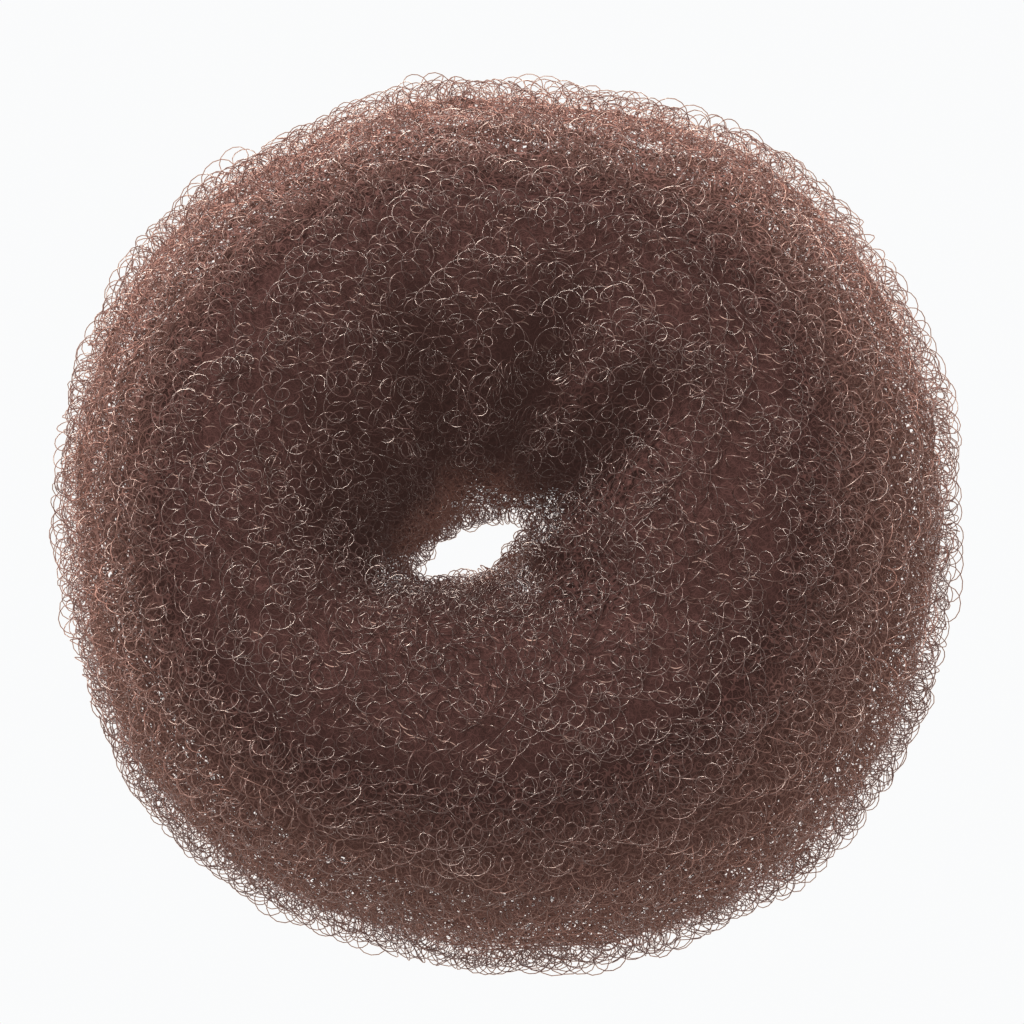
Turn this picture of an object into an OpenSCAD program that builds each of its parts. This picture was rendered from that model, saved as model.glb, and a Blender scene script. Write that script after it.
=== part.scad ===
// Ring pad for a hair bun: one sleeve of springy curled-nylon net, rolled on itself like a sock.
// Millimetres, +Z up. The ring lies flat, and its origin is the middle of its footprint on the base.

/* [Ring] */
// Length of the ring, over its curls
ring_length = 90; // [76:1:120]
// Width of the ring, over its curls
ring_width = 90; // [76:1:120]
// Height of the ring as it lies
ring_height = 38; // [32:1:46]
// How square the ring's outline is, 2 for an ellipse
outline_power = 2.14; // [2:0.02:2.6]
// How square the roll's section is, 2 for an ellipse
section_power = 2.15; // [2:0.05:2.6]
// How far the ring's own weight presses its underside flat
base_press = 1.2; // [0.4:0.1:2]

/* [Hole] */
// Length of the hole at its neck
neck_length = 13.4; // [10:0.2:20]
// Width of the hole at its neck
neck_width = 7; // [5:0.2:12]
// Turn of the hole's long side from the ring's length, in degrees
neck_turn = 26; // [0:1:90]
// Place of the hole's middle along the ring's length
neck_x = -3.8; // [-5:0.1:5]
// Place of the hole's middle along the ring's width
neck_y = -1.4; // [-5:0.1:5]
// Height of the neck above the base
neck_height = 12.5; // [10:0.5:20]

/* [Rolled net] */
// Thickness of the net sleeve, curls and all, where the roll is tightest
net_thickness = 5.2; // [3.6:0.1:6.5]
// Room between one turn of the roll and the next there
turn_gap = 0.5; // [0.4:0.1:1]
// Thickness of the sleeve's two cut edges
edge_thickness = 1.6; // [1:0.1:2.4]
// Radius of the hollow left in the middle of the roll there
core_radius = 2.6; // [2:0.1:4]
// Where the outer cut edge is tucked in, in degrees round the section from its outer side over the top
edge_place = 222; // [200:1:250]
// Length of the thinned run at a cut edge, in degrees round the section
edge_run = 80; // [50:5:110]

/* [Hidden] */

// Stations round the ring, and section points along the sleeve's outer and inner faces
stations = 46;
outer_face_points = 62;
inner_face_points = 44;

// Bulges and hollows of the outline
// columns: angle round the ring, share of the half width
OUTLINE = [
    [0, 0], [10, 0.009], [32, 0], [52, 0.012], [78, -0.012], [100, 0.004], [118, -0.013],
    [142, 0.006], [170, 0.006], [194, -0.013], [222, 0], [254, -0.012], [268, 0.006],
    [290, 0.011], [307, 0.013], [326, -0.003], [345, -0.011], [360, 0]
];

// Puckers of the inner wall, a valley where the depth is above 0 and a ridge where it is below
// columns: angle round the ring, half width in degrees, depth as a share of the roll's half width,
//     middle in degrees round the section, reach in degrees round the section
PUCKERS = [
    [24, 16, 0.10, 140, 58],
    [44, 15, -0.08, 136, 54],
    [64, 15, 0.13, 138, 62],
    [87, 17, -0.10, 142, 56],
    [112, 17, 0.13, 138, 62],
    [140, 17, -0.08, 142, 54],
    [192, 22, 0.06, 148, 58],
    [250, 26, -0.03, 140, 60],
    [318, 24, 0.04, 146, 56]
];

half_length = ring_length / 2;
half_width = ring_width / 2;
// Half height of the roll before its weight presses the base
half_height = (ring_height + base_press) / 2;
mid_height = half_height - base_press;
neck_drop = mid_height - neck_height;
turn_pitch = net_thickness + turn_gap;

// A smooth step from 0 to 1 as x goes from 0 to 1
function ease(x) = let (c = max(0, min(1, x))) c * c * (3 - 2 * c);

// A round bump, 1 where x is 0 and 0 where x is 1 or more either way
function bump(x) = abs(x) >= 1 ? 0 : pow(cos(90 * x), 2);

// The difference between two angles, from -180 to 180
function turn_between(a, b) = let (d = (a - b + 540) % 360) d - 180;

// Radius of a superellipse with half sizes a and b along the direction given
function oval(a, b, power, angle) =
    pow(pow(abs(cos(angle)) / a, power) + pow(abs(sin(angle)) / b, power), -1 / power);

// A table's second column at the angle given, eased between its rows
function eased(table, angle, row = 0) =
    angle <= table[row + 1][0]
        ? let (t = ease((angle - table[row][0]) / (table[row + 1][0] - table[row][0])))
          table[row][1] * (1 - t) + table[row + 1][1] * t
        : eased(table, angle, row + 1);

// Radius of the ring's outline along the direction given
function outline_radius(angle) =
    oval(half_length, half_width, outline_power, angle) + half_width * eased(OUTLINE, angle);

// Where a station meets the ring's outline, and where it meets the wall of the neck
function outline_point(angle) = outline_radius(angle) * [cos(angle), sin(angle)];
function neck_point(angle) =
    [neck_x, neck_y]
        + oval(neck_length / 2, neck_width / 2, 2, angle - neck_turn) * [cos(angle), sin(angle)];

// Share by which the puckers draw in the section at the angle and section direction given
function pucker(angle, direction, row = 0) =
    row == len(PUCKERS) ? 0 :
    PUCKERS[row][2]
        * bump(turn_between(angle, PUCKERS[row][0]) / PUCKERS[row][1])
        * bump(turn_between(direction, PUCKERS[row][3]) / PUCKERS[row][4])
        + pucker(angle, direction, row + 1);

// Half width of the roll at each station, and the narrowest of them
half_widths = [for (i = [0:stations - 1])
    let (angle = 360 * i / stations)
    norm(outline_point(angle) - neck_point(angle)) / 2];
narrowest = min(min(half_widths), half_height);

// Turns that the sleeve makes, in degrees, until only the hollow core is left
roll_turn = 360 * (narrowest - core_radius) / turn_pitch;

// Thickness of the sleeve at a turn of the roll, thinned at both cut edges
function sleeve_thickness(turn) =
    edge_thickness + (net_thickness - edge_thickness)
        * ease(turn / edge_run) * ease((roll_turn - turn) / edge_run);

// Depth of the sleeve's outer face below the roll's surface: it dips under its own outer edge
function face_depth(turn) =
    turn >= 360
        ? face_depth(turn - 360) + sleeve_thickness(turn - 360) + turn_gap
        : (edge_thickness + turn_gap) * ease((turn - 360 + edge_run) / edge_run);

// Turn of the roll at a share of the way along a spiral that starts with the radius given
function spiral_turn(share, start) =
    let (
        shrink = turn_pitch / 360,
        whole = start * roll_turn - shrink * roll_turn * roll_turn / 2
    )
    (start - sqrt(start * start - 2 * shrink * share * whole)) / shrink;

// A face of the sleeve, as pairs of a turn of the roll and a depth below its surface
outer_face = [for (i = [0:outer_face_points - 1])
    let (turn = spiral_turn(i / (outer_face_points - 1), narrowest))
    [turn, face_depth(turn)]];
inner_face = [for (i = [inner_face_points - 1:-1:0])
    let (turn = spiral_turn(i / (inner_face_points - 1), narrowest))
    [turn, face_depth(turn) + sleeve_thickness(turn)]];
sleeve_faces = concat(outer_face, inner_face);

// A point of the section at a station, which runs from the neck to the outline. The station has the
// same turns as the tightest one, so its sleeve is thicker where the roll is fatter.
function section_point(angle, turn, depth) =
    let (
        inner = neck_point(angle),
        outer = outline_point(angle),
        length = norm(outer - inner),
        direction = (edge_place + turn) % 360,
        kept = (1 - depth / narrowest) * (1 - pucker(angle, direction)),
        radius = kept * oval(length / 2, half_height, section_power, direction),
        inward = kept * pow(max(0, -cos(direction)), 2),
        place = (inner + outer) / 2 + (outer - inner) * radius * cos(direction) / length,
        up = mid_height + radius * sin(direction) - neck_drop * inward
    )
    [place[0], place[1], max(0, up)];

ring_points = [for (i = [0:stations - 1], p = sleeve_faces)
    section_point(360 * i / stations, p[0], p[1])];

// The middle of the ring's footprint
ring_xs = [for (p = ring_points) p[0]];
ring_ys = [for (p = ring_points) p[1]];
middle_x = (min(ring_xs) + max(ring_xs)) / 2;
middle_y = (min(ring_ys) + max(ring_ys)) / 2;

// Two triangles between each pair of neighbouring points of each pair of neighbouring stations
function ring_faces(count) =
    [for (i = [0:stations - 1], j = [0:count - 1])
        let (
            next_i = (i + 1) % stations,
            next_j = (j + 1) % count,
            p = i * count + j,
            q = i * count + next_j,
            r = next_i * count + next_j,
            s = next_i * count + j
        )
        each [[p, q, r], [p, r, s]]];

module rolled_net() {
    color("#5a3d37")
        translate([-middle_x, -middle_y, 0])
            polyhedron(points = ring_points, faces = ring_faces(len(sleeve_faces)), convexity = 12);
}

rolled_net();
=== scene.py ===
"""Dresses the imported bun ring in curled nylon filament, and sets its floor, lights and camera.

Everything is in metres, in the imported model's own frame: +Z up, the ring lying flat on the floor.
"""
import logging
import math
from dataclasses import dataclass, field

import bmesh
import bpy
import numpy as np
from mathutils import Matrix, Vector, noise


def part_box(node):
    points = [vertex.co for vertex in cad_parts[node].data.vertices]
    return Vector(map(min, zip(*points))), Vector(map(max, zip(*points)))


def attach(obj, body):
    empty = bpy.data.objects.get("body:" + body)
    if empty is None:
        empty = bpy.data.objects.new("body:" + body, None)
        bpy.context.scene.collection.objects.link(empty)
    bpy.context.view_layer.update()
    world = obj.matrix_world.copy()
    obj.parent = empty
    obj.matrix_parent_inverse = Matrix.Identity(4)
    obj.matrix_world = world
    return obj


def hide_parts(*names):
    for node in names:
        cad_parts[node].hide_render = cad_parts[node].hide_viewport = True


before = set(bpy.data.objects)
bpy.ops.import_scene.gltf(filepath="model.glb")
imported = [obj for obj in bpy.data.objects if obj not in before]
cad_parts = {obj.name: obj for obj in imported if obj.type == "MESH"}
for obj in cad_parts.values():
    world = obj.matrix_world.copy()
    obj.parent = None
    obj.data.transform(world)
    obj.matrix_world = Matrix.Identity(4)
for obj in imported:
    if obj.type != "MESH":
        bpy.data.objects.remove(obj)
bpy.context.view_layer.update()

MM = 0.001
UV_NAME = "OFBake"
# Rows in which the strands are laid out in their UV map
UV_ROWS = 128
# Share of a row left clear at each side of a strand
UV_MARGIN = 0.15
BLACK = (0, 0, 0, 1)
# The tint of the floor and of its surround
PALE = (0.99, 0.995, 1.0, 1)
# The neck's middle, and the distances from it over which the painted light of the floor, seen through the
# hole, fades
NECK = (-4.1 * MM, -2.5 * MM, 12.5 * MM)
NECK_LIGHT = (6.5 * MM, 13 * MM)
LOG = logging.getLogger("bun_ring")
Array = np.ndarray


def ease(x: Array) -> Array:
    """A smooth step from 0 to 1 as x goes from 0 to 1."""
    c = np.clip(x, 0.0, 1.0)
    return c * c * (3.0 - 2.0 * c)


def bump(x: Array) -> Array:
    """A round bump, 1 where x is 0 and 0 where x is 1 or more either way."""
    return np.cos(np.clip(x, -1.0, 1.0) * math.pi / 2) ** 2


def turn_between(a: Array, b: float) -> Array:
    """The difference between two angles in degrees, from -180 to 180."""
    return (a - b + 540.0) % 360.0 - 180.0


def oval(a: Array, b: Array, power: float, angle: Array) -> Array:
    """Radius of a superellipse along a direction.

    Args:
        a: Half size along the first axis.
        b: Half size along the second axis.
        power: How square it is, 2 for an ellipse.
        angle: The direction in degrees.

    Returns:
        The radius there.
    """
    t = np.radians(angle)
    return ((np.abs(np.cos(t)) / a) ** power + (np.abs(np.sin(t)) / b) ** power) ** (-1 / power)


def eased(table: tuple, x: Array) -> Array:
    """A table's second column at the places given, eased between its rows.

    Args:
        table: Rows of a place and a value, the places rising.
        x: The places.

    Returns:
        The values there.
    """
    rows = np.array(table, dtype=float)
    row = np.clip(np.searchsorted(rows[:, 0], x, side="right") - 1, 0, len(rows) - 2)
    share = ease((x - rows[row, 0]) / (rows[row + 1, 0] - rows[row, 0]))
    return rows[row, 1] * (1 - share) + rows[row + 1, 1] * share


def unit(v: Array) -> Array:
    """Vectors in rows, each brought to length 1."""
    return v / np.linalg.norm(v, axis=-1, keepdims=True)


def wander(rng: np.random.Generator, along: Array, reach: float) -> Array:
    """A smooth random walk with a spread of about 1.

    Args:
        rng: The seeded source of its knots.
        along: Distances along a strand, rising from 0.
        reach: Distance over which it changes.

    Returns:
        Its value at each distance.
    """
    knots = rng.normal(size=int(along[-1] / reach) + 3)
    place = along / reach
    low = place.astype(int)
    share = ease(place - low)
    return knots[low] * (1 - share) + knots[low + 1] * share


@dataclass
class RingForm:
    """The outer surface of the rolled net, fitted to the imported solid's box.

    A point has a station angle round the ring and a direction round the roll's section, in degrees. The
    direction is 0 on the outer side, 90 on top, 180 at the hole and 270 underneath.
    """

    half_length: float = 45 * MM
    half_width: float = 45 * MM
    height: float = 38 * MM
    outline_power: float = 2.14
    section_power: float = 2.15
    base_press: float = 1.2 * MM
    neck_length: float = 11.8 * MM
    neck_width: float = 6.2 * MM
    neck_turn: float = 33.0
    neck_x: float = -4.1 * MM
    neck_y: float = -2.5 * MM
    neck_height: float = 12.5 * MM
    # Bulges and hollows of the outline: angle round the ring, share of the half width
    outline: tuple = (
        (0, 0), (10, 0.009), (32, 0), (52, 0.012), (78, -0.012), (100, 0.004), (118, -0.013),
        (142, 0.006), (170, 0.006), (194, -0.013), (222, 0), (254, -0.012), (268, 0.006),
        (290, 0.011), (307, 0.013), (326, -0.003), (345, -0.011), (360, 0))
    # Puckers of the inner wall: angle, half width, depth share, middle direction, reach
    puckers: tuple = (
        (24, 16, 0.10, 140, 58), (44, 15, -0.08, 136, 54), (64, 15, 0.13, 138, 62),
        (87, 17, -0.10, 142, 56), (112, 17, 0.13, 138, 62), (140, 17, -0.08, 142, 54),
        (192, 22, 0.06, 148, 58), (250, 26, -0.03, 140, 60), (318, 24, 0.04, 146, 56))
    # Thin places of the net round the neck: angle, half width, extra depth
    loose: tuple = ((24, 44, 7.5 * MM), (88, 40, 4.0 * MM), (200, 36, 6.0 * MM), (322, 32, 7.0 * MM))
    loose_middle: float = 178.0
    loose_reach: float = 80.0
    move: Array = field(default_factory=lambda: np.zeros(3))
    scale: Array = field(default_factory=lambda: np.ones(3))

    def fit(self, low: Vector, high: Vector) -> None:
        """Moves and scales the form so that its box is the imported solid's.

        Args:
            low: The solid's lowest corner.
            high: The solid's highest corner.
        """
        angle, direction = np.meshgrid(np.arange(0, 360, 2.0), np.arange(0, 360, 3.0))
        points = self.at(angle, direction).reshape(-1, 3)
        size = points.max(0) - points.min(0)
        self.scale = (np.array(high) - np.array(low)) / size
        self.move = np.array(low) - points.min(0) * self.scale

    def looseness(self, angle: Array, direction: Array) -> Array:
        """How much deeper than elsewhere the net gets dense, where it is thin round the neck.

        Args:
            angle: Station angles round the ring.
            direction: Directions round the section.

        Returns:
            The extra depths.
        """
        extra = np.zeros(np.broadcast(angle, direction).shape)
        for at, half, depth in self.loose:
            extra += depth * bump(turn_between(angle, at) / half)
        return extra * bump(turn_between(direction, self.loose_middle) / self.loose_reach)

    def pucker(self, angle: Array, direction: Array) -> Array:
        """Share by which the inner wall's puckers draw in the section.

        Args:
            angle: Station angles round the ring.
            direction: Directions round the section.

        Returns:
            The shares, above 0 in a valley and below it on a ridge.
        """
        share = np.zeros(np.broadcast(angle, direction).shape)
        for at, half, depth, middle, reach in self.puckers:
            near = bump(turn_between(angle, at) / half)
            share += depth * near * bump(turn_between(direction, middle) / reach)
        return share

    def at(self, angle: Array, direction: Array, depth: Array = 0.0) -> Array:
        """Points of the surface, or below it.

        Args:
            angle: Station angles round the ring.
            direction: Directions round the section.
            depth: How far below the surface, negative above it.

        Returns:
            The points, in rows.
        """
        t = np.radians(angle)
        reach = oval(self.half_length, self.half_width, self.outline_power, angle)
        reach = reach + self.half_width * eased(self.outline, angle % 360.0)
        outer = np.stack([reach * np.cos(t), reach * np.sin(t)], -1)
        hole = oval(self.neck_length / 2, self.neck_width / 2, 2, angle - self.neck_turn)
        inner = np.stack([self.neck_x + hole * np.cos(t), self.neck_y + hole * np.sin(t)], -1)
        length = np.linalg.norm(outer - inner, axis=-1)
        half_height = (self.height + self.base_press) / 2
        middle = half_height - self.base_press
        d = np.radians(direction)
        whole = oval(length / 2, half_height, self.section_power, direction)
        radius = (whole - depth) * (1 - self.pucker(angle, direction))
        inward = radius / whole * np.maximum(0.0, -np.cos(d)) ** 2
        across = (radius * np.cos(d) / length)[..., None]
        place = (inner + outer) / 2 + (outer - inner) * across
        up = middle + radius * np.sin(d) - (middle - self.neck_height) * inward
        point = np.concatenate([place, np.maximum(0.0, up)[..., None]], -1)
        return point * self.scale + self.move

    def frame_at(self, angle: Array, direction: Array, depth: Array) -> tuple:
        """Points and their local axes.

        Args:
            angle: Station angles round the ring.
            direction: Directions round the section.
            depth: How far below the surface.

        Returns:
            Points, unit vectors round the ring and outward normals.
        """
        step = 0.4
        point = self.at(angle, direction, depth)
        low = np.maximum(depth, 0.0)
        ahead = self.at(angle + step, direction, low) - self.at(angle - step, direction, low)
        over = self.at(angle, direction + step, low) - self.at(angle, direction - step, low)
        ahead = unit(ahead)
        return point, ahead, unit(np.cross(ahead, over))


class Term:
    """A shader value that takes part in Python expressions, each adding a Math node."""

    def __init__(self, nodes: "Nodes", socket: bpy.types.NodeSocket) -> None:
        """Wraps a value socket."""
        self.nodes = nodes
        self.socket = socket

    def math(self, operation: str, *others: object) -> "Term":
        """A Math node on this value and others.

        Args:
            operation: The node's operation.
            others: Its other inputs, values or terms.

        Returns:
            Its result.
        """
        inputs = {n: v for n, v in enumerate((self, *others))}
        return self.nodes.add("ShaderNodeMath", {"operation": operation}, inputs).term()

    def __add__(self, other: object) -> "Term":
        """This plus another."""
        return self.math("ADD", other)

    def __radd__(self, other: object) -> "Term":
        """Another plus this."""
        return self.math("ADD", other)

    def __sub__(self, other: object) -> "Term":
        """This less another."""
        return self.math("SUBTRACT", other)

    def __rsub__(self, other: object) -> "Term":
        """Another less this."""
        return self.nodes.value("SUBTRACT", other, self)

    def __mul__(self, other: object) -> "Term":
        """This times another."""
        return self.math("MULTIPLY", other)

    def __rmul__(self, other: object) -> "Term":
        """Another times this."""
        return self.math("MULTIPLY", other)

    def __truediv__(self, other: object) -> "Term":
        """This over another."""
        return self.math("DIVIDE", other)

    def __rtruediv__(self, other: object) -> "Term":
        """Another over this."""
        return self.nodes.value("DIVIDE", other, self)

    def __abs__(self) -> "Term":
        """This without its sign."""
        return self.math("ABSOLUTE")

    def most(self, other: object) -> "Term":
        """The larger of this and another."""
        return self.math("MAXIMUM", other)

    def over(self, other: float) -> "Term":
        """1 where this is more than a value and 0 elsewhere."""
        return self.math("GREATER_THAN", other)

    def step(self, low: float, high: float) -> "Term":
        """A smooth step from 0 to 1.

        Args:
            low: The value up to which it is 0.
            high: The value from which it is 1.

        Returns:
            The step.
        """
        node = self.nodes.add(
            "ShaderNodeMapRange", {"interpolation_type": "SMOOTHSTEP"},
            {"Value": self, "From Min": low, "From Max": high, "To Min": 0.0, "To Max": 1.0})
        return node.term()


@dataclass
class Added:
    """A node that has been added, with its outputs by name."""

    nodes: "Nodes"
    node: bpy.types.Node

    def out(self, name: str = "") -> bpy.types.NodeSocket:
        """An output socket, the first one in use if no name is given."""
        return self.node.outputs[name] if name else next(s for s in self.node.outputs if s.enabled)

    def term(self, name: str = "") -> Term:
        """An output as a term."""
        return Term(self.nodes, self.out(name))


class Nodes:
    """The node tree of one material."""

    def __init__(self, name: str) -> None:
        """Starts a material with its output only.

        Args:
            name: The material's name.
        """
        self.material = bpy.data.materials.new(name)
        self.material.use_nodes = True
        self.tree = self.material.node_tree
        self.tree.nodes.clear()
        self.output = self.add("ShaderNodeOutputMaterial", {}, {})

    def add(self, kind: str, settings: dict, inputs: dict) -> Added:
        """Adds a node.

        Args:
            kind: Its type.
            settings: Its settings, set before its inputs.
            inputs: Values, sockets, terms or added nodes, by input name or number.

        Returns:
            The node.
        """
        node = self.tree.nodes.new(kind)
        for name, value in settings.items():
            setattr(node, name, value)
        for name, value in inputs.items():
            source = value.out() if isinstance(value, Added) else getattr(value, "socket", value)
            if isinstance(source, bpy.types.NodeSocket):
                self.tree.links.new(source, node.inputs[name])
            else:
                node.inputs[name].default_value = source
        return Added(self, node)

    def value(self, operation: str, first: object, second: object) -> Term:
        """A Math node on two values or terms."""
        return self.add("ShaderNodeMath", {"operation": operation}, {0: first, 1: second}).term()

    def mix(self, share: object, first: object, second: object) -> Added:
        """A colour between two colours."""
        return self.add(
            "ShaderNodeMix", {"data_type": "RGBA"}, {"Factor": share, 6: first, 7: second})

    def distance(self, place: object, point: tuple) -> Term:
        """How far a place is from a point."""
        settings = {"operation": "DISTANCE"}
        return self.add("ShaderNodeVectorMath", settings, {0: place, 1: point}).term("Value")

    def ramp(self, place: object, levels: list) -> Term:
        """A value that eases through a table.

        Args:
            place: Where in the table, from 0 to 1.
            levels: Pairs of a place and a value, the places rising.

        Returns:
            The value there.
        """
        node = self.add("ShaderNodeValToRGB", {}, {"Fac": place})
        stops = node.node.color_ramp
        stops.interpolation = "EASE"
        for _ in levels[2:]:
            stops.elements.new(0.5)
        for stop, (at, level) in zip(stops.elements, levels):
            stop.position = at
            stop.color = (level, level, level, 1)
        return node.term("Color")

    def finish(self, shader: Added) -> bpy.types.Material:
        """Joins the shader to the output.

        Args:
            shader: The surface's shader.

        Returns:
            The material.
        """
        self.tree.links.new(shader.out(), self.output.node.inputs["Surface"])
        self.material.cycles.emission_sampling = "NONE"
        return self.material


@dataclass(frozen=True)
class FilamentFinish:
    """Clear brown nylon filament, whose tone drifts along each strand and from strand to strand.

    Painted light makes it paler and glow at the rim and the neck, where light comes through the tangle;
    painted shade keeps it deeper round the hole.
    """

    name: str
    deep: tuple = (0.032, 0.0135, 0.012, 1)
    pale: tuple = (0.068, 0.030, 0.025, 1)
    # Painted backlight: the paler tone at the rim and at the neck of the hole
    painted_backlight: tuple = (0.122, 0.054, 0.040, 1)
    # Painted glow: emission that stands for light coming through the filament at the rim and at the neck
    # of the hole
    glow: tuple = (0.015, 0.0065, 0.0045, 1)
    neck_glow: tuple = (0.029, 0.0125, 0.009, 1)
    roughness: float = 0.31
    roughness_drift: float = 0.16
    index: float = 1.53
    glint: float = 1.0
    glint_tint: tuple = (1.0, 0.89, 0.80, 1)
    # How often the tone drifts in the UV map, and the levels between which it does
    drift_scale: float = 34.0
    drift_span: tuple = (0.32, 0.7)
    # Distances from a middle over which painted backlight makes it paler, and from another over which
    # painted shade keeps it deeper
    middle: tuple = (0, -3 * MM, 0)
    rim: tuple = (29 * MM, 44 * MM)
    hole_shade_middle: tuple = (-1 * MM, -9 * MM, 0)
    hole_shade: tuple = (8 * MM, 21 * MM)
    hole_shade_share: float = 0.8

    def material(self) -> bpy.types.Material:
        """Builds it on the strands' own UV map and on object coordinates.

        Returns:
            The material.
        """
        nodes = Nodes(self.name)
        strand = nodes.add("ShaderNodeUVMap", {"uv_map": UV_NAME}, {})
        drift = nodes.add(
            "ShaderNodeTexNoise", {"noise_dimensions": "2D"},
            {"Vector": strand, "Scale": self.drift_scale, "Detail": 2.0, "Roughness": 0.6}).term("Fac")
        place = nodes.add("ShaderNodeTexCoord", {}, {}).out("Object")
        flat = nodes.add("ShaderNodeVectorMath", {"operation": "MULTIPLY"}, {0: place, 1: (1, 1, 0)})
        # Painted shade: the tone is kept deeper round the hole
        hole_shade = (1 - nodes.distance(flat, self.hole_shade_middle).step(*self.hole_shade)) * self.hole_shade_share
        tone = nodes.mix(drift.step(*self.drift_span) * (1 - hole_shade), self.deep, self.pale)
        # Painted backlight and painted glow: paler tone and emission at the rim and at the neck of the
        # hole
        rim = nodes.distance(flat, self.middle).step(*self.rim)
        neck = 1 - nodes.distance(place, NECK).step(*NECK_LIGHT)
        tone = nodes.mix(rim.most(neck), tone, self.painted_backlight)
        glow = nodes.mix(neck, nodes.mix(rim, BLACK, self.glow), self.neck_glow)
        shader = nodes.add("ShaderNodeBsdfPrincipled", {}, {
            "Base Color": tone, "Roughness": self.roughness + self.roughness_drift * (drift - 0.5),
            "Emission Color": glow, "Emission Strength": 1.0, "IOR": self.index,
            "Specular IOR Level": self.glint, "Specular Tint": self.glint_tint})
        return nodes.finish(shader)


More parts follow.
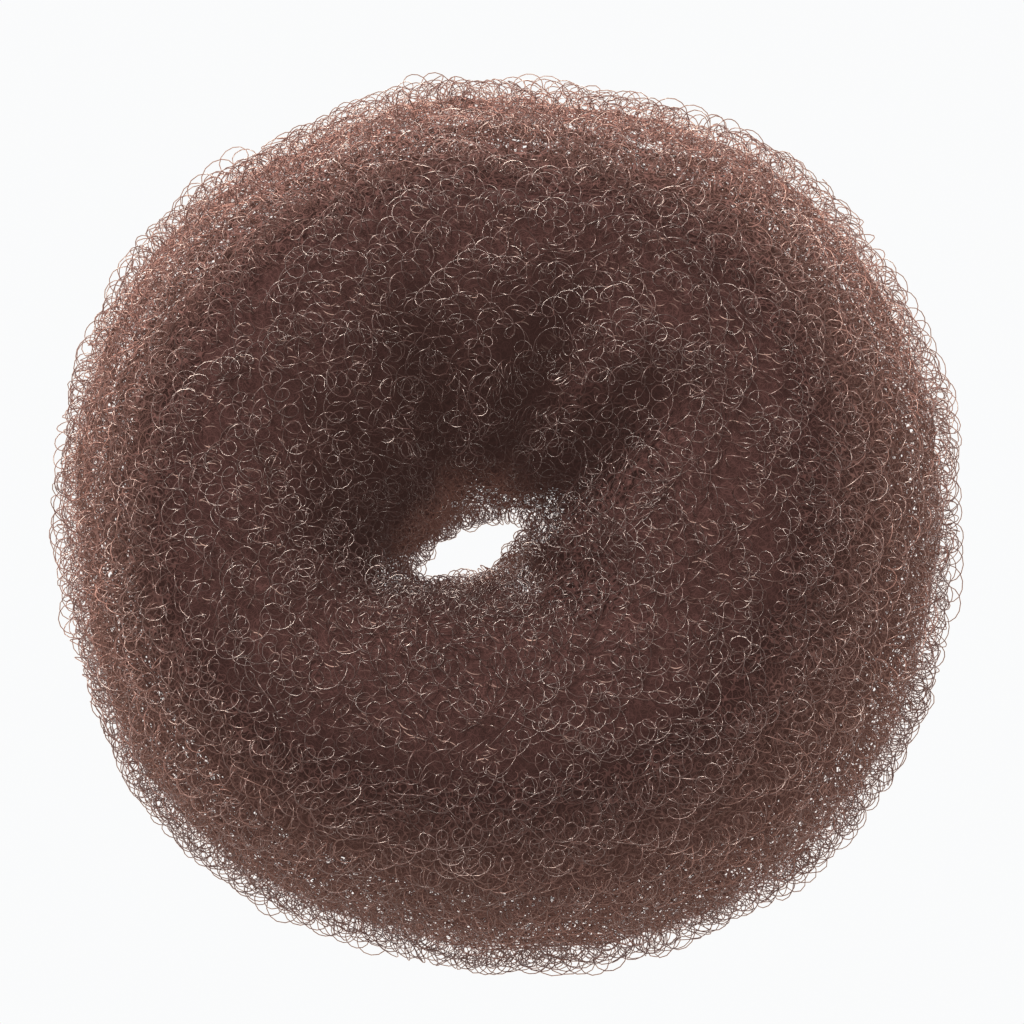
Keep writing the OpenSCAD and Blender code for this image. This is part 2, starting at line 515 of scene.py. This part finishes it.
@dataclass(frozen=True)
class TangleFinish:
    """The depth of the tangle, a fine felt in which curls show as dim arcs one behind the other. Its
    outer side is painted lighter, with a painted glow, and its arcs carry painted highlights.
    """

    name: str = "tangle"
    # Tones of the depths and of the curls; the side tones are copies painted lighter on the outer side,
    # for light that comes through the net there
    shade: tuple = (0.021, 0.0092, 0.008, 1)
    side_shade: tuple = (0.075, 0.038, 0.030, 1)
    curl: tuple = (0.062, 0.0275, 0.024, 1)
    side_curl: tuple = (0.230, 0.116, 0.092, 1)
    # Painted highlight: the tone of the arcs where a curl faces the light
    glint: tuple = (0.52, 0.36, 0.29, 1)
    # Painted glow: emission that stands for light coming through the net at the rim
    glow: tuple = (0.012, 0.006, 0.0045, 1)
    # Families of curls from the nearest to the deepest: distance between curls, brightness
    families: tuple = (
        (3.6 * MM, 1.0), (3.0 * MM, 0.9), (2.5 * MM, 0.8), (2.8 * MM, 0.65), (2.2 * MM, 0.55),
        (1.9 * MM, 0.45))
    # Strands that wind between them: distance over which they turn, brightness
    winders: tuple = ((0.95 * MM, 0.6), (0.7 * MM, 0.55), (0.55 * MM, 0.45), (0.45 * MM, 0.4))
    filament: float = 0.09 * MM
    # How far and how often the drawn curls waver
    waver: float = 0.25 * MM
    waver_scale: float = 420.0
    # Lengths round the ring and over its roll, which the UV map spans
    around: float = 280 * MM
    over: float = 124 * MM
    # A curl's radius as a share of the distance between curls: the least, and what varies
    least_radius: float = 0.2
    radius_spread: float = 0.32
    # A drawn line's full and faded half widths as shares of the filament
    line: tuple = (0.15, 0.6)
    # How far up a curl faces the light, from 0 at its side to 1 at its top
    facing: tuple = (0.8, 0.98)
    # A winder's half width as a share of the filament, in the noise's levels, and its full share
    winder_width: float = 0.28
    winder_full: float = 0.3
    # Offsets that tell one family or set from the next
    family_shift: float = 13 * MM
    winder_shift: float = 17 * MM
    # Clouds of tone: how often, the least share of a line that they leave, and where glints show
    cloud_scale: float = 220.0
    cloud_floor: float = 0.4
    cloud_span: tuple = (0.35, 0.6)
    # Painted light: how far the outer side's tone is lifted toward the curl tone
    painted_side_lift: float = 0.25
    roughness: float = 0.6
    relief: float = 0.8
    # Distance from the middle of the map, over which the coordinates change and the tone turns to the
    # painted lighter side tones
    side_start: float = 0.417
    tone_start: float = 0.30
    most_turn: float = 0.6
    unlit: float = 0.5

    def rings(self, nodes: Nodes, place: Added, size: float, shift: float) -> tuple:
        """One family of curls, rings of mixed radius that the edges of their cells cut into arcs.

        Args:
            nodes: The material's nodes.
            place: Coordinates along the surface, in metres.
            size: Distance between the curls.
            shift: Offset that tells one family from the next.

        Returns:
            1 in the middle of the filament and 0 away from it, and the same where it catches light.
        """
        turn = self.most_turn * math.sin(shift / MM)
        moved = nodes.add("ShaderNodeMapping", {}, {
            "Vector": place, "Location": (shift, 0.7 * shift, 0), "Rotation": (0, 0, turn)})
        cells = nodes.add(
            "ShaderNodeTexVoronoi", {"voronoi_dimensions": "2D", "feature": "F1"},
            {"Vector": moved, "Scale": 1 / size})
        spread = nodes.add("ShaderNodeSeparateColor", {}, {"Color": cells.out("Color")})
        distance = cells.term("Distance")
        away = abs(distance - (self.least_radius + self.radius_spread * spread.term("Red")))
        full, faded = (self.filament / size * share for share in self.line)
        line = 1 - away.step(full, faded)
        offset = nodes.add(
            "ShaderNodeVectorMath", {"operation": "SUBTRACT"}, {0: moved, 1: cells.out("Position")})
        height = nodes.add("ShaderNodeSeparateXYZ", {}, {"Vector": offset}).term("Y")
        facing = abs(height / (distance * size)).step(*self.facing)
        return line, line * facing * spread.term("Green") * spread.term("Blue").over(self.unlit)

    def winder(self, nodes: Nodes, place: bpy.types.NodeSocket, size: float, shift: float) -> Term:
        """Strands that wind at random, the lines along which a smooth noise is half way.

        Args:
            nodes: The material's nodes.
            place: Coordinates in metres.
            size: Distance over which they turn.
            shift: Offset that tells one set from the next.

        Returns:
            1 in the middle of a strand and 0 away from it.
        """
        moved = nodes.add(
            "ShaderNodeMapping", {}, {"Vector": place, "Location": (shift, -shift, 0.5 * shift)})
        level = nodes.add(
            "ShaderNodeTexNoise", {}, {"Vector": moved, "Scale": 1 / size, "Detail": 0.0}).term("Fac")
        width = self.winder_width * self.filament / size
        return 1 - abs(level - 0.5).step(width * self.winder_full, width)

    def material(self) -> bpy.types.Material:
        """Builds it on object coordinates over the top and the UV map round the outer side.

        Returns:
            The material.
        """
        nodes = Nodes(self.name)
        flat = nodes.add("ShaderNodeTexCoord", {}, {}).out("Object")
        map_place = nodes.add("ShaderNodeUVMap", {"uv_map": UV_NAME}, {})
        side = nodes.add(
            "ShaderNodeMapping", {}, {"Vector": map_place, "Scale": (self.around, self.over, 0)})
        height = nodes.add("ShaderNodeSeparateXYZ", {}, {"Vector": map_place}).term("Y")
        place = nodes.add(
            "ShaderNodeMix", {"data_type": "VECTOR"},
            {"Factor": abs(height - 0.5).over(self.side_start), 4: flat, 5: side})
        swirl = nodes.add(
            "ShaderNodeTexNoise", {}, {"Vector": flat, "Scale": self.waver_scale, "Detail": 1.0})
        place = nodes.add(
            "ShaderNodeVectorMath", {"operation": "MULTIPLY_ADD"},
            {0: swirl.out("Color"), 1: (self.waver, self.waver, 0), 2: place})
        drawn, lit = None, None
        for n, (size, level) in enumerate(self.families):
            line, catch = self.rings(nodes, place, size, self.family_shift * n)
            line, catch = line * level, catch * level
            drawn = line if drawn is None else drawn.most(line)
            lit = catch if lit is None else lit.most(catch)
        for n, (size, level) in enumerate(self.winders):
            drawn = drawn.most(self.winder(nodes, flat, size, self.winder_shift * (n + 1)) * level)
        cloud = nodes.add(
            "ShaderNodeTexNoise", {},
            {"Vector": flat, "Scale": self.cloud_scale, "Detail": 3.0}).term("Fac")
        # Painted light: share of the lighter side tones and of the glow, from the top to the outer side
        painted_side_share = abs(height - 0.5).step(self.tone_start, self.side_start)
        depth = drawn * (self.cloud_floor + cloud) + self.painted_side_lift * painted_side_share
        tone = nodes.mix(
            depth,
            nodes.mix(painted_side_share, self.shade, self.side_shade),
            nodes.mix(painted_side_share, self.curl, self.side_curl))
        # Painted highlight on the arcs that face the light
        tone = nodes.mix(lit * cloud.step(*self.cloud_span), tone, self.glint)
        relief = nodes.add(
            "ShaderNodeBump", {},
            {"Height": depth, "Distance": self.filament, "Strength": self.relief})
        # Painted glow on the outer side
        glow = nodes.mix(painted_side_share, BLACK, self.glow)
        shader = nodes.add("ShaderNodeBsdfPrincipled", {}, {
            "Base Color": tone, "Roughness": self.roughness, "Specular IOR Level": 0.0,
            "Normal": relief, "Emission Color": glow, "Emission Strength": 1.0})
        return nodes.finish(shader)


@dataclass(frozen=True)
class HazeFinish:
    """The unresolved fine net: threads that wind at random, with clear gaps left between them. It is
    painted paler toward the outer side and glows there and round the hole, as if lit from behind.
    """

    name: str = "haze"
    # Gap and thread tones: deep and pale are copies painted lighter toward the outer side, dark and dim
    # hold toward the hole
    deep: tuple = (0.050, 0.024, 0.020, 1)
    dark: tuple = (0.028, 0.0125, 0.011, 1)
    pale: tuple = (0.270, 0.150, 0.119, 1)
    dim: tuple = (0.062, 0.028, 0.024, 1)
    # Painted glow: emission that stands for light coming through the net at the rim, and round the hole
    glow: tuple = (0.030, 0.015, 0.011, 1)
    hole_glow: tuple = (0.008, 0.0037, 0.003, 1)
    # Distances over which each set of threads turns
    turns: tuple = (0.72 * MM, 0.92 * MM)
    # Reach of the threads in the noise that draws them: part of a turn from the hole's side, reach
    reaches: tuple = (
        (0.0, 0.045), (0.06, 0.05), (0.12, 0.065), (0.17, 0.12), (0.22, 0.30), (0.27, 0.03),
        (0.36, 0.045), (0.40, 0.08), (0.43, 0.08), (0.46, 0.05), (0.5, 0.03))
    # Offset that tells one set of threads from the next
    set_shift: tuple = (20 * MM, 10 * MM)
    # Half width of a thread's paler line in the noise's levels, its full share, the second set's tone
    thread: float = 0.03
    thread_full: float = 0.4
    second_tone: float = 0.7
    roughness: float = 0.6
    # Part of a turn from the hole's side over which painted backlight makes it paler
    paler: tuple = (0.28, 0.47)
    # Painted glow at the threads' fine edges, for the floor's light coming through them
    painted_fringe_glow: tuple = (0.15, 0.070, 0.053, 1)
    fringe_width: float = 0.012

    def material(self) -> bpy.types.Material:
        """Builds it on object coordinates and the UV map's height.

        Returns:
            The material.
        """
        nodes = Nodes(self.name)
        flat = nodes.add("ShaderNodeTexCoord", {}, {}).out("Object")
        place = nodes.add("ShaderNodeUVMap", {"uv_map": UV_NAME}, {})
        toward = abs(nodes.add("ShaderNodeSeparateXYZ", {}, {"Vector": place}).term("Y") - 0.5)
        reach = nodes.ramp(toward / 0.5, [(at / 0.5, level) for at, level in self.reaches])
        covered, drawn = None, None
        for n, size in enumerate(self.turns):
            shift = (self.set_shift[0] * n, self.set_shift[1] * n, 0)
            moved = nodes.add("ShaderNodeMapping", {}, {"Vector": flat, "Location": shift})
            level = nodes.add(
                "ShaderNodeTexNoise", {}, {"Vector": moved, "Scale": 1 / size, "Detail": 0.0}).term("Fac")
            away = abs(level - 0.5)
            line = 1 - away.step(self.thread_full * self.thread, self.thread)
            cover = reach - away
            covered = cover if covered is None else covered.most(cover)
            drawn = line if drawn is None else drawn.most(self.second_tone * line)
        # Painted backlight and glow: paler tones toward the outer side, and emission there and round the
        # neck of the hole
        paler = toward.step(*self.paler)
        painted_glow_share = paler.most(1 - nodes.distance(flat, NECK).step(*NECK_LIGHT))
        glow = nodes.mix(paler, self.hole_glow, self.glow)
        glow = nodes.mix(1 - covered.step(0.0, self.fringe_width), glow, self.painted_fringe_glow)
        tone = nodes.mix(
            drawn, nodes.mix(paler, self.dark, self.deep), nodes.mix(paler, self.dim, self.pale))
        shader = nodes.add("ShaderNodeBsdfPrincipled", {}, {
            "Base Color": tone, "Roughness": self.roughness, "Specular IOR Level": 0.0,
            "Alpha": covered.over(0.0), "Emission Color": nodes.mix(painted_glow_share, BLACK, glow),
            "Emission Strength": 1.0})
        return nodes.finish(shader)


@dataclass(frozen=True)
class FloorFinish:
    """A pale plain floor that glows evenly, as a light table does."""

    name: str = "floor"
    glow: float = 0.97

    def material(self) -> bpy.types.Material:
        """Builds it."""
        nodes = Nodes(self.name)
        return nodes.finish(nodes.add(
            "ShaderNodeEmission", {}, {"Color": PALE, "Strength": self.glow}))


@dataclass
class Skin:
    """A closed surface below the curls, which stands for the part of the net too fine to sweep."""

    form: RingForm
    name: str
    # How far below the ring's surface it lies: direction round the section, depth
    insets: tuple
    # How far its lumps rise: direction round the section, height
    lumps: tuple
    # Share of the thin places' extra depth that it follows
    looseness: float
    stations: int
    section_points: int
    lump_size: float = 2.8 * MM
    round_radius: float = 3.0

    def build(self, finish: bpy.types.Material) -> bpy.types.Object:
        """Spins a circle into a ring and moves each point onto the form.

        Args:
            finish: The finish of the whole surface.

        Returns:
            The piece.
        """
        mesh = bmesh.new()
        upright = Matrix.Rotation(math.pi / 2, 4, "X")
        upright.translation = (self.round_radius, 0, 0)
        bmesh.ops.create_circle(mesh, segments=self.section_points, radius=1.0, matrix=upright)
        bmesh.ops.spin(
            mesh, geom=mesh.edges[:], cent=(0, 0, 0), axis=(0, 0, 1), angle=2 * math.pi,
            steps=self.stations, use_merge=True)
        points = np.array([v.co[:] for v in mesh.verts])
        angle = np.degrees(np.arctan2(points[:, 1], points[:, 0])) % 360
        out = np.hypot(points[:, 0], points[:, 1]) - self.round_radius
        direction = np.degrees(np.arctan2(points[:, 2], out)) % 360
        depth = eased(self.insets, direction) + self.looseness * self.form.looseness(angle, direction)
        placed = self.form.at(angle, direction, depth)
        bulge = np.array([noise.noise(p / self.lump_size) for p in map(Vector, placed)])
        depth = depth + eased(self.lumps, direction) * bulge
        for vertex, place in zip(mesh.verts, self.form.at(angle, direction, depth)):
            vertex.co = place
        bmesh.ops.recalc_face_normals(mesh, faces=mesh.faces)
        layer = mesh.loops.layers.uv.new(UV_NAME)
        for face in mesh.faces:
            face.smooth = True
            corners = [loop.vert.index for loop in face.loops]
            across = unwrapped(angle[corners]) / 360
            up = unwrapped(direction[corners]) / 360
            for loop, u, v in zip(face.loops, across, up):
                loop[layer].uv = (u, v)
        data = bpy.data.meshes.new(self.name)
        mesh.to_mesh(data)
        mesh.free()
        return placed_in_scene(self.name, data, finish)


def unwrapped(angles: Array) -> Array:
    """Angles of one face's corners, in degrees, without a jump from 360 to 0 between them."""
    return np.where((angles.max() - angles.min() > 180) & (angles < 180), angles + 360, angles)


@dataclass
class CurlLayer:
    """One depth of the tangle: strands of curls that wind round the ring and round its roll."""

    form: RingForm
    name: str
    seed: int
    depth: float
    strands: int
    winding: int
    segment: float
    finish: FilamentFinish
    # How closely strands lie: direction round the section, share of the mean
    closeness: tuple
    looseness: float = 0.0
    filament: float = 0.1 * MM
    curl_radius: float = 0.98 * MM
    curl_pitch: float = 1.8 * MM
    # How closely the curls keep to a common plane, and how far that plane turns level
    flatness: float = 2.0
    lean: float = 3.0
    # How far a strand wanders over the roll, round the ring and in depth
    sway: float = 0.9 * MM
    stray: float = 0.6 * MM
    sink: float = 0.28 * MM
    # Distances along a strand over which its path, its curls and their planes change
    path_hop: float = 3.5 * MM
    curl_hop: float = 4 * MM
    plane_hop: float = 6 * MM
    # Spreads of the curls' radius and pace, and of the places where strands start
    radius_spread: float = 0.18
    pace_spread: float = 0.15
    start_spread: float = 0.3

    def section_map(self) -> tuple:
        """Directions round the section against the share of the strands met on the way to them.

        Returns:
            The shares, from 0 to 1, and the directions in degrees.
        """
        directions = np.arange(0, 360.5, 0.5)
        section = self.form.at(np.full_like(directions, 270.0), directions, self.depth)
        steps = np.linalg.norm(np.diff(section, axis=0), axis=1)
        steps *= eased(self.closeness, directions[1:])
        shares = np.concatenate([[0], np.cumsum(steps)])
        return shares / shares[-1], directions

    def strand(self, rng: np.random.Generator, share: float) -> Array:
        """The points of one strand.

        Args:
            rng: The seeded source of its wandering.
            share: Where round the section it starts, from 0 to 1.

        Returns:
            Its points, in rows.
        """
        shares, directions = self.section_map()
        start = rng.uniform(0, 360)
        turns = start + np.arange(0, 361, 1.0)
        place = (share + self.winding * turns / 360) % 1
        path = self.form.at(turns, np.interp(place, shares, directions), self.depth)
        along = np.concatenate([[0], np.cumsum(np.linalg.norm(np.diff(path, axis=0), axis=1))])
        curls = along[-1] / self.curl_pitch
        at = np.linspace(0, along[-1], int(curls * 2 * math.pi * self.curl_radius / self.segment))
        angle = np.interp(at, along, turns)
        section = self.form.height * math.pi
        shift = wander(rng, at, self.path_hop) * self.sway / section
        direction = np.interp((share + self.winding * angle / 360 + shift) % 1, shares, directions)
        angle = angle + np.degrees(wander(rng, at, self.path_hop) * self.stray / self.form.half_width)
        depth = self.depth + wander(rng, at, self.path_hop) * self.sink
        depth += self.looseness * self.form.looseness(angle, direction)
        point, ahead, out = self.form.frame_at(angle, direction, depth)
        over = unit(np.cross(out + (0, 0, self.lean), ahead))
        radius = self.curl_radius * (1 + self.radius_spread * wander(rng, at, self.curl_hop))
        pace = np.exp(self.pace_spread * wander(rng, at, self.curl_hop))
        turn = np.cumsum(pace) / pace.sum() * 2 * math.pi * curls
        spin = np.stack([wander(rng, at, self.plane_hop) for _ in range(4)], -1)
        spin[:, 0] += self.flatness
        swing = unit(spin)
        first, second = turned(ahead, swing), turned(over, swing)
        points = point + radius[:, None] * (
            np.cos(turn)[:, None] * first + np.sin(turn)[:, None] * second)
        points[:, 2] = np.maximum(points[:, 2], self.filament / 2)
        return points

    def build(self) -> bpy.types.Object:
        """Sweeps the filament along every strand of the layer.

        Returns:
            The piece.
        """
        rng = np.random.default_rng(self.seed)
        shifts = rng.uniform(-self.start_spread, self.start_spread, self.strands)
        starts = (np.arange(self.strands) + shifts) / self.strands
        strands = [self.strand(rng, share % 1) for share in starts]
        profile = filament_profile(self.filament / 2)
        curve = bpy.data.curves.new(self.name, "CURVE")
        curve.dimensions = "3D"
        curve.bevel_mode = "OBJECT"
        curve.bevel_object = profile
        curve.use_fill_caps = True
        for points in strands:
            spline = curve.splines.new("POLY")
            spline.points.add(len(points) - 1)
            rows = np.concatenate([points, np.ones((len(points), 1))], 1)
            spline.points.foreach_set("co", rows.astype(np.float32).ravel())
            spline.use_smooth = True
        holder = bpy.data.objects.new(self.name, curve)
        bpy.context.scene.collection.objects.link(holder)
        graph = bpy.context.evaluated_depsgraph_get()
        data = bpy.data.meshes.new_from_object(holder.evaluated_get(graph))
        bpy.data.objects.remove(holder)
        bpy.data.curves.remove(curve)
        bpy.data.objects.remove(profile)
        data.name = self.name
        lay_out(data)
        return placed_in_scene(self.name, data, self.finish.material())


def placed_in_scene(name: str, data: bpy.types.Mesh, finish: bpy.types.Material) -> bpy.types.Object:
    """Makes a mesh into a piece of the scene.

    Args:
        name: The piece's name.
        data: Its mesh.
        finish: The finish of its whole surface.

    Returns:
        The piece.
    """
    data.materials.clear()
    data.materials.append(finish)
    piece = bpy.data.objects.new(name, data)
    bpy.context.scene.collection.objects.link(piece)
    return piece


def turned(vectors: Array, swings: Array) -> Array:
    """Vectors turned by unit quaternions, row by row.

    Args:
        vectors: The vectors.
        swings: The quaternions, real part first.

    Returns:
        The turned vectors.
    """
    axis = swings[:, 1:]
    side = np.cross(axis, vectors)
    return vectors + 2 * (swings[:, :1] * side + np.cross(axis, side))


def filament_profile(radius: float) -> bpy.types.Object:
    """The filament's section, a closed curve of three points.

    Args:
        radius: The filament's radius.

    Returns:
        The curve's object.
    """
    curve = bpy.data.curves.new("profile", "CURVE")
    curve.dimensions = "2D"
    spline = curve.splines.new("POLY")
    spline.points.add(2)
    for n, point in enumerate(spline.points):
        turn = 2 * math.pi * n / 3
        point.co = (radius * math.cos(turn), radius * math.sin(turn), 0, 1)
    spline.use_cyclic_u = True
    holder = bpy.data.objects.new("profile", curve)
    bpy.context.scene.collection.objects.link(holder)
    return holder


def lay_out(data: bpy.types.Mesh) -> None:
    """Lays the strands out in rows of their UV map, each segment in a cell of its own.

    Args:
        data: The strands' mesh, three vertices to a point.
    """
    vertex = np.empty(len(data.loops), dtype=np.int32)
    data.loops.foreach_get("vertex_index", vertex)
    starts = np.empty(len(data.polygons), dtype=np.int32)
    data.polygons.foreach_get("loop_start", starts)
    face = np.repeat(np.arange(len(starts)), np.diff(np.append(starts, len(vertex))))
    point, side = vertex // 3, vertex % 3
    first = np.minimum.reduceat(point, starts)[face]
    low = np.minimum.reduceat(side, starts)[face]
    high = np.maximum.reduceat(side, starts)[face]
    quad = np.diff(np.append(starts, len(vertex)))[face] == 4
    across = np.where(quad & (high - low == 2) & (side == 0), 3, side)
    ahead = np.where(quad, point - first, 0.5 * (side == 1))
    room = math.ceil((point.max() + 1) / UV_ROWS)
    uv = np.stack([
        (first % room + ahead) / room,
        (first // room + UV_MARGIN + (1 - 2 * UV_MARGIN) * across / 3) / UV_ROWS], -1)
    layer = data.uv_layers[0]
    layer.name = UV_NAME
    layer.uv.foreach_set("vector", uv.astype(np.float32).ravel())


@dataclass
class Studio:
    """The floor, the lights and the camera."""

    form: RingForm
    elevation: float = 75.0
    distance: float = 290 * MM
    frame_width: float = 102.2 * MM
    sensor: float = 36.0
    aim: tuple = (0.35 * MM, 0.35 * MM, 18 * MM)
    # The faint veil that a bright surround lays over the shadows
    veil: tuple = (0.026, 0.013, 0.011)
    # The warm bleed where filament and bright floor share a pixel: level, shift of each channel
    bleed: tuple = (
        (0.05, (0, 0, 0)), (0.13, (0, 0, 0)), (0.25, (0.010, -0.004, -0.013)),
        (0.5, (0.038, -0.014, -0.046)), (0.72, (0.036, -0.015, -0.044)), (0.94, (0, 0, 0)))
    surround: float = 0.43
    # Name, place, side and power of each light
    lights: tuple = (
        ("key", (-0.16, 0.48, 0.43), 0.18, 9.7), ("fill", (-0.08, -0.02, 0.62), 0.22, 1.4))

    def floor(self) -> bpy.types.Object:
        """The surface that the ring lies on.

        Returns:
            The floor's object.
        """
        mesh = bmesh.new()
        bmesh.ops.create_grid(mesh, x_segments=1, y_segments=1, size=3.0)
        data = bpy.data.meshes.new("floor")
        mesh.to_mesh(data)
        mesh.free()
        floor = bpy.data.objects.new("floor", data)
        bpy.context.scene.collection.objects.link(floor)
        data.materials.append(FloorFinish().material())
        return floor

    def light(self, name: str, place: tuple, size: float, power: float) -> None:
        """A square soft light that faces the ring.

        Args:
            name: Its name.
            place: Where it stands.
            size: Its side.
            power: Its power in watts.
        """
        lamp = bpy.data.lights.new(name, "AREA")
        lamp.size = size
        lamp.energy = power
        holder = bpy.data.objects.new(name, lamp)
        holder.location = place
        holder.rotation_euler = (-Vector(place)).to_track_quat("-Z", "Y").to_euler()
        bpy.context.scene.collection.objects.link(holder)

    def world(self) -> None:
        """An even pale surround."""
        world = bpy.data.worlds.new("surround")
        bpy.context.scene.world = world
        world.use_nodes = True
        ground = world.node_tree.nodes["Background"]
        ground.inputs["Color"].default_value = PALE
        ground.inputs["Strength"].default_value = self.surround

    def camera(self) -> None:
        """Looks down on the ring from the photograph's angle."""
        lens = bpy.data.cameras.new("camera")
        lens.sensor_width = self.sensor
        lens.lens = self.sensor * self.distance / self.frame_width
        lens.clip_start = 0.01
        camera = bpy.data.objects.new("camera", lens)
        tilt = math.radians(self.elevation)
        back = Vector((0, -math.cos(tilt), math.sin(tilt)))
        camera.location = Vector(self.aim) + back * self.distance
        camera.rotation_euler = (-back).to_track_quat("-Z", "Y").to_euler()
        bpy.context.scene.collection.objects.link(camera)
        bpy.context.scene.camera = camera

    def build(self) -> None:
        """Sets the whole studio."""
        self.camera()
        self.floor()
        self.world()
        for name, place, size, power in self.lights:
            self.light(name, place, size, power)
        view = bpy.context.scene.view_settings
        view.view_transform = "Standard"
        view.use_curve_mapping = True
        view.curve_mapping.black_level = [-level for level in self.veil]
        for level, shifts in self.bleed:
            for curve, shift in zip(view.curve_mapping.curves, shifts):
                curve.points.new(level, level + shift)
        view.curve_mapping.update()


def main() -> None:
    """Builds the studio, the core, the haze skins and the curls, and reports each piece."""
    logging.basicConfig(level=logging.INFO, format="%(name)s: %(message)s")
    form = RingForm()
    form.fit(*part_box("rolled_net"))
    Studio(form).build()
    core_depths = (
        (0, 8.0 * MM), (30, 7.2 * MM), (60, 4.0 * MM), (80, 2.0 * MM), (135, 2.0 * MM), (165, 1.7 * MM),
        (190, 1.5 * MM), (225, 1.8 * MM), (270, 2.0 * MM), (300, 4.0 * MM), (330, 7.2 * MM),
        (360, 8.0 * MM))
    haze_depths = (
        (0, 2.2 * MM), (50, 2.4 * MM), (80, 2.5 * MM), (130, 2.6 * MM), (165, 1.5 * MM), (190, 1.0 * MM),
        (225, 1.5 * MM), (280, 2.8 * MM), (330, 2.2 * MM), (360, 2.2 * MM))
    deep_haze_depths = (
        (0, 5.4 * MM), (50, 4.2 * MM), (80, 2.9 * MM), (130, 2.9 * MM), (165, 2.4 * MM), (190, 2.0 * MM),
        (225, 2.4 * MM), (280, 2.9 * MM), (330, 4.2 * MM), (360, 5.4 * MM))
    rises = (
        (0, 1.0 * MM), (40, 0.9 * MM), (80, 0.4 * MM), (280, 0.4 * MM), (320, 0.9 * MM),
        (360, 1.0 * MM))
    core = Skin(
        form, "core", core_depths, rises, looseness=1.0, stations=180,
        section_points=72).build(TangleFinish().material())
    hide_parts("rolled_net")
    thin_net = HazeFinish().material()
    haze = Skin(
        form, "haze", haze_depths, rises, looseness=0.25, stations=120, section_points=50,
        lump_size=2.2 * MM).build(thin_net)
    deep_haze = Skin(
        form, "deep_haze", deep_haze_depths, rises, looseness=0.5, stations=120, section_points=50,
        lump_size=2.5 * MM).build(thin_net)
    pieces = [core, haze, deep_haze]
    outer = FilamentFinish("filament_outer")
    # The deeper strands, with a paler painted backlight and a stronger painted glow
    inner = FilamentFinish(
        "filament_inner", deep=(0.040, 0.018, 0.015, 1), pale=(0.085, 0.039, 0.032, 1),
        painted_backlight=(0.27, 0.135, 0.100, 1), glow=(0.048, 0.021, 0.015, 1),
        neck_glow=(0.055, 0.024, 0.017, 1))
    even = (
        (0, 0.7), (50, 1.0), (90, 1.1), (140, 1.15), (185, 1.2), (230, 0.6), (270, 0.3), (315, 0.6),
        (360, 0.7))
    fuller = (
        (0, 0.75), (50, 1.1), (90, 0.95), (140, 1.0), (185, 1.3), (230, 0.5), (270, 0.2), (315, 0.7),
        (360, 0.75))
    sides = (
        (0, 1.3), (40, 1.2), (60, 0.5), (90, 0.1), (130, 0.2), (160, 1.0), (190, 1.5), (225, 0.8),
        (250, 0.15), (280, 0.1), (310, 0.9), (360, 1.3))
    # Name, seed, depth, strands, winding, segment, finish, closeness, looseness, filament
    layers = [
        CurlLayer(form, "curls_a", 11, 0.6 * MM, 25, 1, 0.54 * MM, outer, even, flatness=2.8),
        CurlLayer(form, "curls_b", 12, 0.9 * MM, 25, -1, 0.54 * MM, outer, even, flatness=2.8),
        CurlLayer(form, "curls_c", 13, 1.3 * MM, 25, 1, 0.55 * MM, outer, fuller, 0.6, flatness=2.3),
        CurlLayer(form, "curls_d", 14, 1.9 * MM, 26, -1, 0.60 * MM, inner, fuller, 0.8, 0.105 * MM),
        CurlLayer(form, "curls_e", 15, 3.0 * MM, 32, 0, 0.75 * MM, inner, sides, 1.0, 0.11 * MM),
    ]
    pieces.extend(layer.build() for layer in layers)
    for piece in pieces:
        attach(piece, "root")
        count = sum(len(p.vertices) - 2 for p in piece.data.polygons)
        LOG.info("%s: %d triangles", piece.name, count)


if __name__ == "__main__":
    main()
